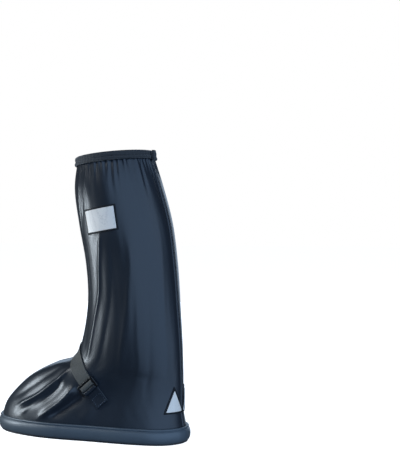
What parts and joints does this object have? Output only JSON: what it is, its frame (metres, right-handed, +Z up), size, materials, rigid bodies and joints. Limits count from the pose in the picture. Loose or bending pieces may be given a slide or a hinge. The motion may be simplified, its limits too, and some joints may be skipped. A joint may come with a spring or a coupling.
{
  "type": "shoe cover",
  "caption": "Tall waterproof overshoe with a moulded sole rim, gathered elastic leg opening, instep strap with buckles, side zip, draw cord and silver reflectors",
  "frame": {"origin": "centre of the flat pad under the arch of the sole, on the ground", "axes": "+Z up the leg, -X towards the toe, +X towards the heel, -Y the outer side of a left foot, +Y the inner side"},
  "size_m": [0.3002, 0.1238, 0.397],
  "materials": {
    "pvc": "satin",
    "rim": "satin",
    "sole_rubber": "matte",
    "binding": "matte",
    "border": "satin",
    "reflective_film": "satin",
    "webbing": "woven",
    "buckle": "glossy",
    "zip_tape": "woven",
    "zip_teeth": "satin",
    "lock": "satin",
    "cord": "woven"
  },
  "bodies": {
    "root": {"outer_side_panel": "pvc", "inner_side_panel": "pvc", "placket": "pvc", "anchor_tab_outer": "pvc", "anchor_tab_inner": "pvc", "sole_rim": "rim", "outsole": "sole_rubber", "cuff_band": "binding", "cuff_tab": "binding", "reflector_backing": "border", "heel_backing_outer": "border", "heel_backing_inner": "border", "reflector_patch": "reflective_film", "heel_triangle_outer": "reflective_film", "heel_triangle_inner": "reflective_film", "instep_strap": "webbing", "buckle_outer": "buckle", "buckle_inner": "buckle", "zip_tape": "zip_tape", "zip_coil": "zip_teeth", "zip_slider": "zip_teeth", "cord_lock": "lock", "draw_cord": "cord"}
  },
  "joints": []
}
